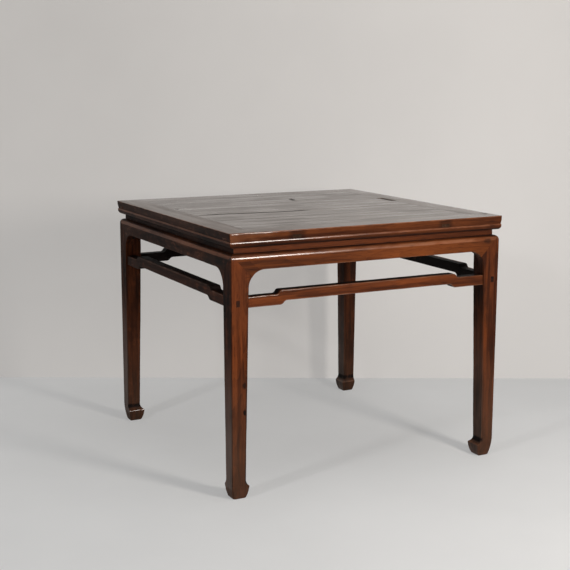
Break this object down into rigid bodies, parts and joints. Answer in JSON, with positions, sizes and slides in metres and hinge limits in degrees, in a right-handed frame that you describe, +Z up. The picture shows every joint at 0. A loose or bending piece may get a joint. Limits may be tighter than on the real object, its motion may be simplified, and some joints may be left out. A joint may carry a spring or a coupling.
{
  "type": "chinese eight immortals table",
  "caption": "Square waisted dining table: mitred frame-and-panel top with moulded edge, mitred aprons, hump-backed stretchers and straight legs ending in inward hoof feet.",
  "frame": {"origin": "on the floor, under the middle of the top", "axes": "+Z up, +X to the right along the front edge, +Y from front to back"},
  "size_m": [1, 1, 0.83],
  "materials": {
    "frame_wood": "waxed old lacquer over hardwood, worn at the arrises",
    "panel_wood": "waxed old lacquer over hardwood, rubbed, with open seams",
    "waist_wood": "waxed old lacquer over hardwood",
    "apron_wood": "waxed old lacquer over hardwood, rubbed on the shoulder",
    "leg_wood": "waxed old lacquer over hardwood, darker towards the feet",
    "stretcher_wood": "waxed old lacquer over hardwood",
    "brace_wood": "bare old wood, never finished"
  },
  "bodies": {
    "root": {"frame_front": "frame_wood", "frame_back": "frame_wood", "frame_left": "frame_wood", "frame_right": "frame_wood", "panel_board_1": "panel_wood", "panel_board_2": "panel_wood", "panel_board_3": "panel_wood", "panel_board_4": "panel_wood", "waist_front": "waist_wood", "waist_back": "waist_wood", "waist_left": "waist_wood", "waist_right": "waist_wood", "apron_front": "apron_wood", "apron_back": "apron_wood", "apron_left": "apron_wood", "apron_right": "apron_wood", "leg_front_left": "leg_wood", "leg_front_right": "leg_wood", "leg_back_left": "leg_wood", "leg_back_right": "leg_wood", "stretcher_front": "stretcher_wood", "stretcher_back": "stretcher_wood", "stretcher_left": "stretcher_wood", "stretcher_right": "stretcher_wood", "brace_left": "brace_wood", "brace_right": "brace_wood"}
  },
  "joints": []
}
